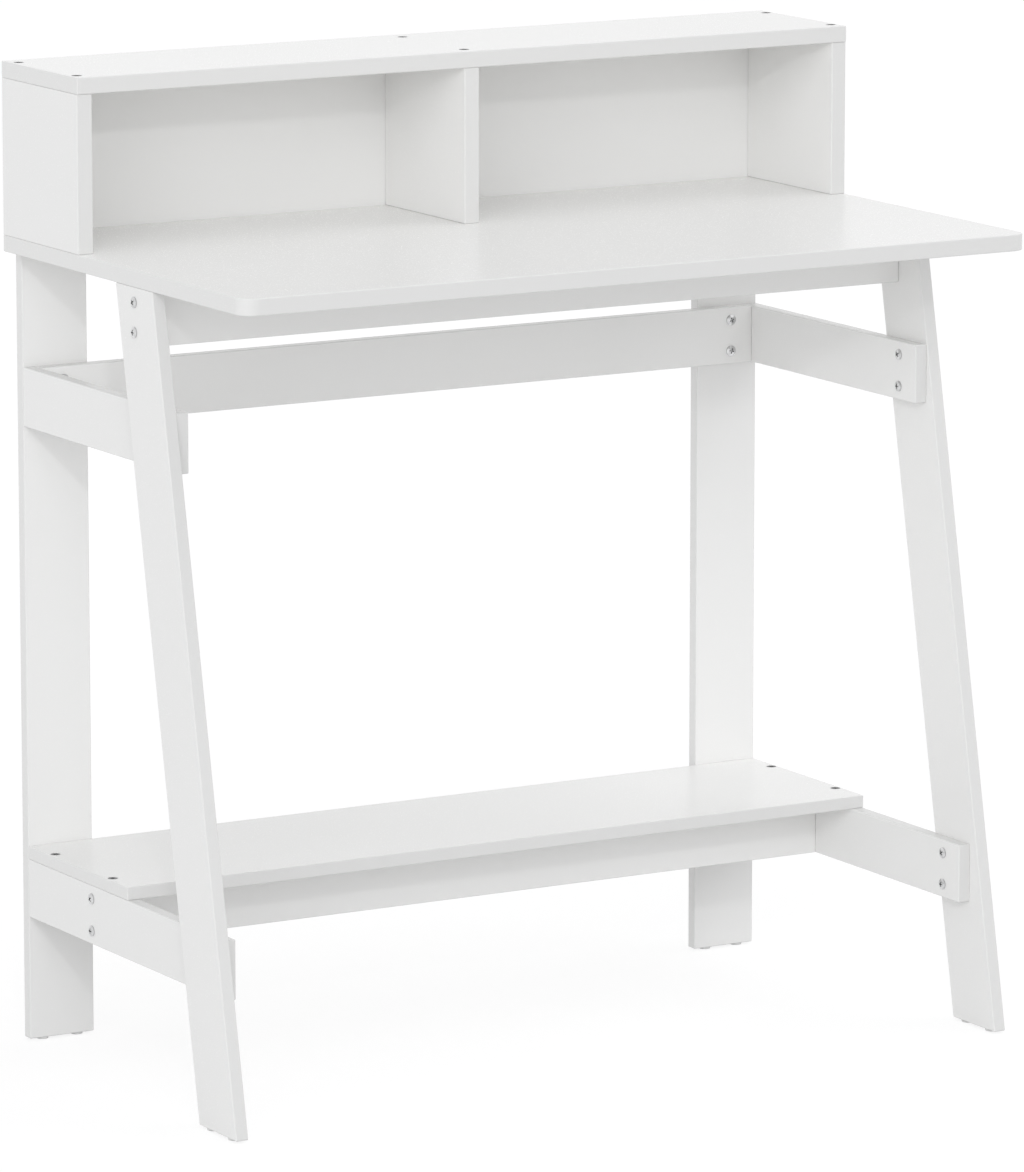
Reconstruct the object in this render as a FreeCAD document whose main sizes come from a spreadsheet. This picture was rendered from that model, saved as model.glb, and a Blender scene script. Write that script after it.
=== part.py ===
"""An A-frame writing desk with a two-bay hutch, built board by board and screw by screw.

Millimetres. +Z is up, the desk's front faces -Y, and the origin lies on the floor under the middle of
the whole desk. The frame is made of thin boards: upright rear legs, leaning front legs outboard of
the side rails, a rear rail, an apron under the desktop, and a lower shelf on the lower side rails.
"""

import FreeCAD
import Part
import Sketcher
import os
import re
from math import atan2
from math import pi

# Driving dimensions, each with what it measures
SIZES = [
    ("desk_width", 800, "desktop and hutch, end to end; the front legs' outer faces are flush with it"),
    ("desk_depth", 456, "desktop, front edge to rear edge"),
    ("desk_height", 743, "top of the desktop above the floor"),
    ("desktop_board", 15, "thickness of the desktop"),
    ("desktop_corner", 16, "plan radius of the desktop's front corners"),
    ("edge_round", 1, "rounding along the edges of every wrapped board"),
    ("hutch_clear", 142, "clear height of the hutch bays"),
    ("hutch_depth", 149, "hutch top, front edge to rear edge"),
    ("hutch_setback", 1, "hutch uprights behind the front edge of the hutch top"),
    ("hutch_board", 15, "thickness of the hutch boards"),
    ("panel_board", 3, "thickness of the hutch's back panel"),
    ("panel_inset", 4, "back panel short of the hutch's ends and top"),
    ("panel_lap", 11, "back panel down over the desktop's rear edge"),
    ("rear_leg_board", 12, "thickness of the rear legs"),
    ("rear_leg_width", 65, "width of the rear legs"),
    ("front_leg_board", 12, "thickness of the front legs"),
    ("front_leg_width", 69, "front legs, measured level from edge to edge"),
    ("front_leg_lean", 145, "head of a front leg behind its foot"),
    ("front_foot_setback", 23, "front feet behind the desktop's front edge"),
    ("rail_board", 12, "thickness of the side rails, rear rail and cross rail"),
    ("rail_height", 54, "height of those rails"),
    ("upper_rail_drop", 104.5, "upper rails below the desktop"),
    ("upper_rail_setback", 5.8, "front ends of the upper side rails behind the front legs' front edges"),
    ("lower_rail_bottom", 116.5, "underside of the lower rails above the floor"),
    ("lower_rail_setback", 15.7, "front ends of the lower side rails behind the front legs' front edges"),
    ("apron_board", 12, "thickness of the apron"),
    ("apron_height", 53, "height of the apron"),
    ("apron_setback", 33.3, "apron's front face behind the front legs' front edges"),
    ("shelf_board", 12, "thickness of the lower shelf"),
    ("shelf_depth", 196, "lower shelf, front edge to rear edge"),
    ("cross_rail_setback", 64.5, "cross rail's front face behind the shelf's front edge"),
    ("screw_diameter", 4, "shank of the frame screws"),
    ("screw_point", 4, "length of a screw's point"),
    ("screw_play", 0.15, "gap all round a screw, nail or head in its hole"),
    ("tip_room", 0.5, "empty depth past the tip of a screw, nail or dowel"),
    ("pan_head", 10, "diameter of the frame screws' pan heads"),
    ("pan_rise", 2.2, "height of the pan heads"),
    ("pan_rim", 0.7, "straight rim of the pan heads"),
    ("end_screw_length", 35, "screws into the end of a rail, under the head"),
    ("face_screw_bite", 8, "screws through a rail's face, length of shank in the leg"),
    ("flush_head", 9, "diameter of the countersunk heads"),
    ("flush_screw_length", 40, "countersunk screws, overall"),
    ("recess_span", 5, "length of the cross recess in a screw head"),
    ("recess_width", 1.1, "width of the cross recess"),
    ("recess_depth", 1.2, "depth of the cross recess"),
    ("rail_screw_pitch", 29.5, "spacing of the two screws at each rail joint"),
    ("apron_screw_pitch", 26.5, "spacing of the two screws at each end of the apron"),
    ("rear_rail_screw_offset", 2.5, "rear rail's screws inward of the rear legs' middles"),
    ("upper_rail_screw_inset", 28.5, "upper side rails' screws from their front ends"),
    ("lower_rail_screw_inset", 27, "lower side rails' screws from their front ends"),
    ("hutch_screw_rear_inset", 20, "rear hutch screws from the hutch's rear edge"),
    ("hutch_screw_front_inset", 15.5, "front hutch screws from the hutch's front edge"),
    ("shelf_screw_front_inset", 40, "front shelf screws from the shelf's front edge"),
    ("shelf_screw_rear_inset", 42.5, "rear shelf screws from the shelf's rear edge"),
    ("dowel_diameter", 6, "dowels between legs and desktop"),
    ("dowel_length", 28, "dowels, end to end"),
    ("dowel_cover", 4.5, "desktop left over the dowels' holes"),
    ("dowel_chamfer", 0.8, "chamfer on the dowels' ends"),
    ("dowel_pitch", 36, "spacing of the two dowels in each leg"),
    ("bracket_leg", 20, "each leaf of an angle bracket"),
    ("bracket_width", 12, "width of an angle bracket"),
    ("bracket_steel", 2, "thickness of an angle bracket"),
    ("bracket_hole", 12, "hole centres from the bend of an angle bracket"),
    ("bracket_pitch", 250, "spacing of the angle brackets behind the apron"),
    ("bracket_screw_diameter", 3, "shank of the bracket screws"),
    ("bracket_screw_length", 10, "bracket screws, under the head"),
    ("bracket_screw_head", 6.5, "diameter of the bracket screws' heads"),
    ("bracket_screw_rise", 1.8, "height of the bracket screws' heads"),
    ("bracket_screw_rim", 0.5, "straight rim of the bracket screws' heads"),
    ("bracket_recess_span", 3.6, "length of the cross recess in a bracket screw"),
    ("bracket_recess_width", 0.8, "width of that cross recess"),
    ("bracket_recess_depth", 1, "depth of that cross recess"),
    ("nail_diameter", 1.6, "shank of the back panel's nails"),
    ("nail_length", 16, "back panel's nails, under the head"),
    ("nail_point", 2, "length of a nail's point"),
    ("nail_head", 4, "diameter of the nail heads"),
    ("nail_head_rise", 0.6, "thickness of the nail heads"),
    ("nail_end_inset", 75, "outermost nails from the ends of the hutch top and the desktop"),
    ("nail_end_rise", 35, "outermost nails from the ends of each hutch upright"),
    ("glide_diameter", 11, "glides under the feet"),
    ("glide_height", 2, "glides below the legs"),
    ("glide_round", 0.8, "rounding of the glides' lower edge"),
    ("glide_nail", 2, "nail of a glide"),
    ("glide_nail_length", 12, "nail of a glide up into its leg"),
    ("glide_nail_point", 2.5, "point of a glide's nail"),
    ("glide_inset", 15, "glides from the edges of their leg"),
]

SHEET = "Sizes"
NAILS_ALONG = 6
NAILS_UP = 3
RECESS_TURN = 37.0
SEAT_TAPER = -45.0
FLUSH_DOT = 0.99
VOLUME_TOLERANCE = 0.02
PLACE_TOLERANCE = 0.01

doc = FreeCAD.newDocument("Desk")
sheet = doc.addObject("Spreadsheet::Sheet", SHEET)
for row, (alias, number, meaning) in enumerate(SIZES, start=1):
    sheet.set(f"A{row}", meaning)
    sheet.set(f"B{row}", str(number))
    sheet.setAlias(f"B{row}", alias)
doc.recompute()

# Planes that several pieces share, as formulas over the sheet
HALF = "(desk_width / 2)"
FRONT = "(-(desk_depth + panel_board + nail_head_rise) / 2)"
REAR = f"({FRONT} + desk_depth)"
LEG_FACE = f"({REAR} - rear_leg_board)"
UNDER = "(desk_height - desktop_board)"
HUTCH_TOP = "(desk_height + hutch_clear + hutch_board)"
FRAME_HALF = f"({HALF} - front_leg_board)"
RAIL_HALF = f"({FRAME_HALF} - rail_board)"
RAIL_MID_X = f"({FRAME_HALF} - rail_board / 2)"
UPPER_BOTTOM = f"({UNDER} - upper_rail_drop - rail_height)"
UPPER_MID = f"({UPPER_BOTTOM} + rail_height / 2)"
LOWER_MID = "(lower_rail_bottom + rail_height / 2)"
SHELF_FRONT = f"({LEG_FACE} - shelf_depth)"
SHELF_TOP = "(lower_rail_bottom + rail_height + shelf_board)"
CROSS_MID_Y = f"({SHELF_FRONT} + cross_rail_setback + rail_board / 2)"
FOOT_FRONT = f"({FRONT} + front_foot_setback)"
DOWEL_RISE = "(desktop_board - dowel_cover - tip_room)"
FACE_SCREW_LENGTH = "(rail_board + face_screw_bite)"


def leg_edge(height):
    """The Y of the front legs' front edges at a height."""
    return f"({FOOT_FRONT} + front_leg_lean * ({height} - glide_height) / ({UNDER} - glide_height))"


UPPER_FRONT = f"({leg_edge(UPPER_MID)} + upper_rail_setback)"
LOWER_FRONT = f"({leg_edge(LOWER_MID)} + lower_rail_setback)"
APRON_MID_Z = f"({UNDER} - apron_height / 2)"
APRON_FRONT = f"({leg_edge(APRON_MID_Z)} + apron_setback)"
APRON_MID_Y = f"({APRON_FRONT} + apron_board / 2)"


def cells(formula):
    """A formula with every size in it written as a cell of the sheet."""
    return re.sub(r"[a-z][a-z_]*", lambda word: f"{SHEET}.{word.group(0)}", str(formula))


def bind(item, prop, formula):
    """Tie one property of a document object to the sheet."""
    item.setExpression(prop, cells(formula))


def bind_base(item, point):
    """Tie an object's position to three formulas."""
    for axis, formula in zip("xyz", point):
        bind(item, f"Placement.Base.{axis}", formula)


def size_of(formula):
    """A formula's value in millimetres."""
    return float(sheet.evalExpression(cells(formula)))


def origin_plane(body, role):
    """One of a body's own origin planes."""
    for feature in body.Origin.OriginFeatures:
        if feature.Role == role:
            return feature
    raise ValueError(f"no {role} in {body.Label}")


def new_sketch(body, name, role):
    """An empty sketch on one of the body's origin planes."""
    sketch = body.newObject("Sketcher::SketchObject", name)
    sketch.AttachmentSupport = [(origin_plane(body, role), "")]
    sketch.MapMode = "FlatFace"
    return sketch


def dimension(sketch, kind, references, name, formula):
    """A named dimension in a sketch, tied to the sheet."""
    index = sketch.addConstraint(Sketcher.Constraint(kind, *references, size_of(formula)))
    sketch.renameConstraint(index, name)
    bind(sketch, f"Constraints.{name}", formula)


def place_point(sketch, line, end, name, x_formula, y_formula):
    """Hold one point of a sketch at a place measured from the sketch's origin."""
    origin = (-1, 1)
    for kind, formula, on_axis in (("DistanceX", x_formula, -2), ("DistanceY", y_formula, -1)):
        if formula == "0":
            sketch.addConstraint(Sketcher.Constraint("PointOnObject", line, end, on_axis))
        else:
            dimension(sketch, kind, (*origin, line, end), f"{name}_{kind}", formula)


def dome_arc(rim, crown):
    """An arc from a point of the rim up to a crown on the axis, centred on the axis."""
    below = (crown.y ** 2 - rim.y ** 2 - rim.x ** 2) / (2 * (crown.y - rim.y))
    circle = Part.Circle(FreeCAD.Vector(0, below, 0), FreeCAD.Vector(0, 0, 1), crown.y - below)
    return Part.ArcOfCircle(circle, atan2(rim.y - below, rim.x), pi / 2)


def draw_polygon(sketch, corners, domed=None):
    """A closed outline through corners given as pairs of formulas; side number domed is an arc."""
    points = [FreeCAD.Vector(size_of(x), size_of(y), 0) for x, y in corners]
    count = len(points)
    for i in range(count):
        ends = points[i], points[(i + 1) % count]
        sketch.addGeometry(dome_arc(*ends) if i == domed else Part.LineSegment(*ends), False)
    if domed is not None:
        sketch.addConstraint(Sketcher.Constraint("PointOnObject", domed, 3, -2))
    for i in range(count):
        sketch.addConstraint(Sketcher.Constraint("Coincident", i, 2, (i + 1) % count, 1))
    for i, (x, y) in enumerate(corners):
        place_point(sketch, i, 1, f"corner_{i}", x, y)


def pad_body(label, role, corners, length):
    """A body that starts as a polygon padded to a length."""
    body = doc.addObject("PartDesign::Body", label)
    body.Label = label
    sketch = new_sketch(body, f"{label}_outline", role)
    draw_polygon(sketch, corners)
    pad = body.newObject("PartDesign::Pad", f"{label}_pad")
    pad.Profile = sketch
    bind(pad, "Length", length)
    doc.recompute()
    return body


def sharp_edges(shape):
    """Names of the edges where two faces meet at a corner."""
    names = []
    for i, edge in enumerate(shape.Edges, start=1):
        middle = edge.valueAt((edge.FirstParameter + edge.LastParameter) / 2)
        faces = [face for face in shape.Faces if any(edge.isSame(side) for side in face.Edges)]
        normals = [face.normalAt(*face.Surface.parameter(middle)) for face in faces]
        if len(normals) == 2 and abs(normals[0].dot(normals[1])) < FLUSH_DOT:
            names.append(f"Edge{i}")
    return names


def fillet(body, name, edges, radius):
    """Round the named edges of a body's newest feature."""
    base = body.Tip
    feature = body.newObject("PartDesign::Fillet", name)
    feature.Base = (base, edges)
    bind(feature, "Radius", radius)
    doc.recompute()
    return feature


class Board:
    """A board's body, with the formulas for its lowest corner and for its size along X, Y and Z."""

    def __init__(self, body, corner, size, rounded=True):
        self.body = body
        self.corner = corner
        self.size = size
        bind_base(body, corner)
        if rounded:
            fillet(body, f"{body.Label}_edges", sharp_edges(body.Shape), "edge_round")

    def hole_sketch(self, side, spots, diameter):
        """Circles on one side of the board, at places given in the desk's own frame."""
        axis = "XYZ".index(side[1])
        across = [i for i in range(3) if i != axis]
        role = ("YZ_Plane", "XZ_Plane", "XY_Plane")[axis]
        serial = len(self.body.Group)
        sketch = new_sketch(self.body, f"{self.body.Label}_spots_{serial}", role)
        if side[0] == "+":
            outward = "-" if axis == 1 else ""
            bind(sketch, "AttachmentOffset.Base.z", f"{outward}({self.size[axis]})")
        for i, spot in enumerate(spots):
            local = [f"({place}) - ({self.corner[k]})" for place, k in zip(spot, across)]
            centre = FreeCAD.Vector(size_of(local[0]), size_of(local[1]), 0)
            sketch.addGeometry(Part.Circle(centre, FreeCAD.Vector(0, 0, 1), size_of(diameter) / 2), False)
            place_point(sketch, i, 3, f"spot_{i}", local[0], local[1])
            dimension(sketch, "Diameter", (i,), f"bore_{i}", diameter)
        inward_is_reversed = (side[0] == "+") == (axis == 1)
        return sketch, inward_is_reversed

    def drill(self, side, spots, diameter, depth=None):
        """Plain round holes from one side: to a depth, or right through where no depth is given."""
        axis = "XYZ".index(side[1])
        sketch, is_reversed = self.hole_sketch(side, spots, diameter)
        before = self.body.Shape.Volume
        pocket = self.body.newObject("PartDesign::Pocket", f"{sketch.Name}_bore")
        pocket.Profile = sketch
        pocket.Reversed = is_reversed
        depth = depth or self.size[axis]
        bind(pocket, "Length", depth)
        doc.recompute()
        self.expect_cut(sketch.Name, before, len(spots) * pi / 4 * size_of(diameter) ** 2 * size_of(depth))

    def countersink(self, side, spots):
        """Holes right through for flush screws, with a seat for the head on one side."""
        depth = f"({HEAD_SEAT} - {SHANK_HOLE}) / 2"
        self.drill(side, spots, SHANK_HOLE)
        sketch, is_reversed = self.hole_sketch(side, spots, HEAD_SEAT)
        before = self.body.Shape.Volume
        seat = self.body.newObject("PartDesign::Pocket", f"{sketch.Name}_seat")
        seat.Profile = sketch
        seat.Reversed = is_reversed
        seat.TaperAngle = SEAT_TAPER
        bind(seat, "Length", depth)
        doc.recompute()
        wide = size_of(HEAD_SEAT)
        narrow = size_of(SHANK_HOLE)
        cone = (wide ** 2 + wide * narrow + narrow ** 2) / 3 - narrow ** 2
        self.expect_cut(sketch.Name, before, len(spots) * pi / 4 * size_of(depth) * cone)

    def expect_cut(self, name, before, wanted):
        """Stop the build where a cut took more or less of the board than it should."""
        cut = before - self.body.Shape.Volume
        if abs(cut - wanted) > VOLUME_TOLERANCE * wanted:
            raise ValueError(f"{name} cut {cut:.1f} mm3, not {wanted:.1f}")


def box_board(label, corner, size, rounded=True):
    """A plain rectangular board."""
    corners = [("0", "0"), (size[0], "0"), (size[0], size[1]), ("0", size[1])]
    return Board(pad_body(label, "XY_Plane", corners, size[2]), corner, size, rounded)


def mirrored_x(side, near, width):
    """Lowest X of a piece whose inner face stands at near, on the left (-1) or the right (+1)."""
    return near if side > 0 else f"-({near}) - ({width})"


def signed(side, formula):
    """A distance from the desk's middle, on the left (-1) or the right (+1)."""
    return formula if side > 0 else f"-({formula})"


def pair(middle, pitch):
    """Two places either side of a middle."""
    return [f"{middle} - {pitch} / 2", f"{middle} + {pitch} / 2"]


# Boards of the frame
SHANK_HOLE = "(screw_diameter + 2 * screw_play)"
HEAD_SEAT = "(flush_head + 2 * screw_play)"
SIDES = {"left": -1, "right": 1}
INNER_FACE = {"left": "+X", "right": "-X"}
OUTER_FACE = {"left": "-X", "right": "+X"}


def make_rear_leg(side):
    corner = (
        mirrored_x(SIDES[side], f"{FRAME_HALF} - rear_leg_width", "rear_leg_width"),
        LEG_FACE,
        "glide_height",
    )
    size = ("rear_leg_width", "rear_leg_board", f"{UNDER} - glide_height")
    return box_board(f"{side}_rear_leg", corner, size)


def make_front_leg(side):
    """A leaning board whose foot and head are cut level."""
    label = f"{side}_front_leg"
    rise = f"{UNDER} - glide_height"
    outline = [
        ("0", "0"),
        ("front_leg_width", "0"),
        ("front_leg_width + front_leg_lean", rise),
        ("front_leg_lean", rise),
    ]
    body = pad_body(label, "YZ_Plane", outline, "front_leg_board")
    corner = (mirrored_x(SIDES[side], FRAME_HALF, "front_leg_board"), FOOT_FRONT, "glide_height")
    return Board(body, corner, ("front_leg_board", "front_leg_width + front_leg_lean", rise))


def make_side_rail(level, side, front, bottom):
    """A rail from a rear leg's face to the inner face of a front leg."""
    corner = (mirrored_x(SIDES[side], RAIL_HALF, "rail_board"), front, bottom)
    size = ("rail_board", f"{LEG_FACE} - {front}", "rail_height")
    return box_board(f"{level}_{side}_side_rail", corner, size)


def make_desktop():
    """The desktop, with its two front corners rounded before its edges are softened."""
    label = "desktop"
    corners = [("0", "0"), ("desk_width", "0"), ("desk_width", "desk_depth"), ("0", "desk_depth")]
    body = pad_body(label, "XY_Plane", corners, "desktop_board")
    front_edges = [
        f"Edge{i}"
        for i, edge in enumerate(body.Shape.Edges, start=1)
        if edge.BoundBox.YMax < PLACE_TOLERANCE and edge.BoundBox.ZLength > edge.BoundBox.XLength
    ]
    fillet(body, f"{label}_corners", front_edges, "desktop_corner")
    return Board(body, (f"-{HALF}", FRONT, UNDER), ("desk_width", "desk_depth", "desktop_board"))


def make_hutch_upright(label, left_x):
    corner = (left_x, f"{REAR} - hutch_depth + hutch_setback", "desk_height")
    return box_board(label, corner, ("hutch_board", "hutch_depth - hutch_setback", "hutch_clear"))


rear_legs = {side: make_rear_leg(side) for side in SIDES}
front_legs = {side: make_front_leg(side) for side in SIDES}
upper_rails = {side: make_side_rail("upper", side, UPPER_FRONT, UPPER_BOTTOM) for side in SIDES}
lower_rails = {side: make_side_rail("lower", side, LOWER_FRONT, "lower_rail_bottom") for side in SIDES}
rear_rail = box_board(
    "rear_rail",
    (f"-{RAIL_HALF}", f"{LEG_FACE} - rail_board", UPPER_BOTTOM),
    (f"2 * {RAIL_HALF}", "rail_board", "rail_height"),
)
cross_rail = box_board(
    "shelf_cross_rail",
    (f"-{RAIL_HALF}", f"{SHELF_FRONT} + cross_rail_setback", "lower_rail_bottom"),
    (f"2 * {RAIL_HALF}", "rail_board", "rail_height"),
)
lower_shelf = box_board(
    "lower_shelf",
    (f"-{FRAME_HALF}", SHELF_FRONT, f"{SHELF_TOP} - shelf_board"),
    (f"2 * {FRAME_HALF}", "shelf_depth", "shelf_board"),
)
front_apron = box_board(
    "front_apron",
    (f"-{FRAME_HALF}", APRON_FRONT, f"{UNDER} - apron_height"),
    (f"2 * {FRAME_HALF}", "apron_board", "apron_height"),
)
desktop = make_desktop()

# Boards of the hutch
uprights = [
    make_hutch_upright("hutch_left_side", f"-{HALF}"),
    make_hutch_upright("hutch_divider", "-hutch_board / 2"),
    make_hutch_upright("hutch_right_side", f"{HALF} - hutch_board"),
]
upright_middles = [f"-({HALF} - hutch_board / 2)", "0", f"{HALF} - hutch_board / 2"]
hutch_top = box_board(
    "hutch_top",
    (f"-{HALF}", f"{REAR} - hutch_depth", f"{HUTCH_TOP} - hutch_board"),
    ("desk_width", "hutch_depth", "hutch_board"),
)
back_panel = box_board(
    "hutch_back_panel",
    (f"-({HALF} - panel_inset)", REAR, "desk_height - panel_lap"),
    (f"2 * ({HALF} - panel_inset)", "panel_board", f"{HUTCH_TOP} - panel_inset - desk_height + panel_lap"),
    rounded=False,
)


# Fasteners
def turned_body(label, outline, domed=None):
    """A body turned about Z from an outline of radius and height; one side of it may be a dome."""
    body = doc.addObject("PartDesign::Body", label)
    body.Label = label
    sketch = new_sketch(body, f"{label}_profile", "XZ_Plane")
    draw_polygon(sketch, outline, domed)
    turned = body.newObject("PartDesign::Revolution", f"{label}_turned")
    turned.Profile = sketch
    turned.ReferenceAxis = (sketch, ["V_Axis"])
    turned.Angle = 360
    doc.recompute()
    return body


def cut_recess(body, top, span, width, depth):
    """A cross recess in the top of a screw head, as two slots."""
    for i, (along, across) in enumerate(((span, width), (width, span))):
        sketch = new_sketch(body, f"{body.Label}_slot_{i}", "XY_Plane")
        bind(sketch, "AttachmentOffset.Base.z", top)
        half_x = f"{along} / 2"
        half_y = f"{across} / 2"
        draw_polygon(sketch, [
            (f"-{half_x}", f"-{half_y}"),
            (half_x, f"-{half_y}"),
            (half_x, half_y),
            (f"-{half_x}", half_y),
        ])
        slot = body.newObject("PartDesign::Pocket", f"{body.Label}_recess_{i}")
        slot.Profile = sketch
        bind(slot, "Length", depth)
        doc.recompute()


def pan_screw(label, family, length, point):
    """A domed screw whose head sits on z = 0 and whose shank points down."""
    head, rise, rim, shank, recess = family
    outline = [
        ("0", f"-{length}"),
        (f"{shank} / 2", f"{point} - {length}"),
        (f"{shank} / 2", "0"),
        (f"{head} / 2", "0"),
        (f"{head} / 2", rim),
        ("0", rise),
    ]
    dome = outline.index((f"{head} / 2", rim))
    body = turned_body(label, outline, dome)
    cut_recess(body, rise, *recess)
    return body


def flush_screw(label):
    """A countersunk screw whose flat top lies at z = 0."""
    outline = [
        ("0", "-flush_screw_length"),
        ("screw_diameter / 2", "screw_point - flush_screw_length"),
        ("screw_diameter / 2", "(screw_diameter - flush_head) / 2"),
        ("flush_head / 2", "0"),
        ("0", "0"),
    ]
    body = turned_body(label, outline)
    cut_recess(body, "0", *FRAME_RECESS)
    return body


def panel_nail(label):
    outline = [
        ("0", "-nail_length"),
        ("nail_diameter / 2", "nail_point - nail_length"),
        ("nail_diameter / 2", "0"),
        ("nail_head / 2", "0"),
        ("nail_head / 2", "nail_head_rise"),
        ("0", "nail_head_rise"),
    ]
    return turned_body(label, outline)


def wood_dowel(label):
    outline = [
        ("0", "0"),
        ("dowel_diameter / 2 - dowel_chamfer", "0"),
        ("dowel_diameter / 2", "dowel_chamfer"),
        ("dowel_diameter / 2", "dowel_length - dowel_chamfer"),
        ("dowel_diameter / 2 - dowel_chamfer", "dowel_length"),
        ("0", "dowel_length"),
    ]
    return turned_body(label, outline)


def foot_glide(label):
    """A glide that stands on z = 0, with its nail pointing up and its lower edge rounded."""
    outline = [
        ("0", "0"),
        ("glide_diameter / 2", "0"),
        ("glide_diameter / 2", "glide_height"),
        ("glide_nail / 2", "glide_height"),
        ("glide_nail / 2", "glide_height + glide_nail_length - glide_nail_point"),
        ("0", "glide_height + glide_nail_length"),
    ]
    body = turned_body(label, outline)
    lower_edge = [
        f"Edge{i}"
        for i, edge in enumerate(body.Shape.Edges, start=1)
        if edge.BoundBox.ZMax < PLACE_TOLERANCE
    ]
    fillet(body, f"{label}_rim", lower_edge, "glide_round")
    return body


def angle_bracket(label):
    """A bent strip: one leaf stands on y = 0, the other lies under z = bracket_leg."""
    outline = [
        ("0", "0"),
        ("bracket_steel", "0"),
        ("bracket_steel", "bracket_leg - bracket_steel"),
        ("bracket_leg", "bracket_leg - bracket_steel"),
        ("bracket_leg", "bracket_leg"),
        ("0", "bracket_leg"),
    ]
    body = pad_body(label, "YZ_Plane", outline, "bracket_width")
    strip = Board(body, ("0", "0", "0"), ("bracket_width", "bracket_leg", "bracket_leg"), rounded=False)
    middle = "bracket_width / 2"
    strip.drill("-Y", [(middle, "bracket_leg - bracket_hole")], BRACKET_SCREW_HOLE, "bracket_steel")
    strip.drill("+Z", [(middle, "bracket_hole")], BRACKET_SCREW_HOLE, "bracket_steel")
    return body


FRAME_RECESS = ("recess_span", "recess_width", "recess_depth")
FRAME_SCREW = ("pan_head", "pan_rise", "pan_rim", "screw_diameter", FRAME_RECESS)
BRACKET_RECESS = ("bracket_recess_span", "bracket_recess_width", "bracket_recess_depth")
BRACKET_SCREW = (
    "bracket_screw_head",
    "bracket_screw_rise",
    "bracket_screw_rim",
    "bracket_screw_diameter",
    BRACKET_RECESS,
)
BRACKET_SCREW_HOLE = "(bracket_screw_diameter + 2 * screw_play)"
NAIL_HOLE = "(nail_diameter + 2 * screw_play)"
GLIDE_HOLE = "(glide_nail + 2 * screw_play)"
DOWEL_HOLE = "(dowel_diameter + 2 * screw_play)"

end_screw = pan_screw("end_screw", FRAME_SCREW, "end_screw_length", "screw_point")
face_screw = pan_screw("face_screw", FRAME_SCREW, FACE_SCREW_LENGTH, "screw_point")
hutch_screw = flush_screw("hutch_screw")
bracket_screw = pan_screw("bracket_screw", BRACKET_SCREW, "bracket_screw_length", "screw_point")
nail = panel_nail("nail")
dowel = wood_dowel("dowel")
glide = foot_glide("glide")
bracket = angle_bracket("bracket")

groups = []


def place_group(label, pattern, seats):
    """Copies of one piece at a list of places, each with its own turn, as one node."""
    copies = []
    for i, (point, turn) in enumerate(seats, start=1):
        copy = doc.addObject("App::Link", f"{label}_{i}")
        copy.LinkedObject = pattern
        copy.Placement = FreeCAD.Placement(FreeCAD.Vector(), turn)
        bind_base(copy, point)
        copies.append(copy)
    group = doc.addObject("Part::Compound", label)
    group.Label = label
    group.Links = copies
    groups.append(group)


def driven(seats, drive):
    """Seats for pieces driven along one direction, each stopped with its recess at another angle."""
    aim = FreeCAD.Rotation(FreeCAD.Vector(0, 0, -1), FreeCAD.Vector(*drive))
    axis = FreeCAD.Vector(0, 0, 1)
    return [(point, aim.multiply(FreeCAD.Rotation(axis, i * RECESS_TURN))) for i, point in enumerate(seats)]


DOWN = (0, 0, -1)
UP = (0, 0, 1)
FORWARD = (0, -1, 0)
BACK = (0, 1, 0)


def outward(side):
    return (SIDES[side], 0, 0)


def inward(side):
    return (-SIDES[side], 0, 0)


# Rear rail on the rear legs, and side rails on both pairs of legs
upper_rows = pair(UPPER_MID, "rail_screw_pitch")
lower_rows = pair(LOWER_MID, "rail_screw_pitch")
into_leg = "face_screw_bite + tip_room"
into_rail_end = "end_screw_length - rear_leg_board + tip_room"
rear_rail_seats = []
for side, sign in SIDES.items():
    x = signed(sign, f"({FRAME_HALF} - rear_leg_width / 2 - rear_rail_screw_offset)")
    spots = [(x, z) for z in upper_rows]
    rear_rail.drill("-Y", spots, SHANK_HOLE)
    rear_legs[side].drill("-Y", spots, SHANK_HOLE, into_leg)
    rear_rail_seats += [(x, f"{LEG_FACE} - rail_board", z) for z in upper_rows]
place_group("rear_rail_screws", face_screw, driven(rear_rail_seats, BACK))

for level, rails, rows, front in (
    ("upper", upper_rails, upper_rows, UPPER_FRONT),
    ("lower", lower_rails, lower_rows, LOWER_FRONT),
):
    front_y = f"{front} + {level}_rail_screw_inset"
    front_seats = []
    rear_seats = []
    for side, sign in SIDES.items():
        front_spots = [(front_y, z) for z in rows]
        rails[side].drill(INNER_FACE[side], front_spots, SHANK_HOLE)
        front_legs[side].drill(INNER_FACE[side], front_spots, SHANK_HOLE, into_leg)
        front_seats += driven([(signed(sign, RAIL_HALF), front_y, z) for z in rows], outward(side))
        rear_spots = [(signed(sign, RAIL_MID_X), z) for z in rows]
        rear_legs[side].drill("+Y", rear_spots, SHANK_HOLE)
        rails[side].drill("+Y", rear_spots, SHANK_HOLE, into_rail_end)
        rear_seats += driven([(signed(sign, RAIL_MID_X), REAR, z) for z in rows], FORWARD)
    place_group(f"{level}_rail_front_screws", face_screw, front_seats)
    place_group(f"{level}_rail_rear_screws", end_screw, rear_seats)

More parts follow.
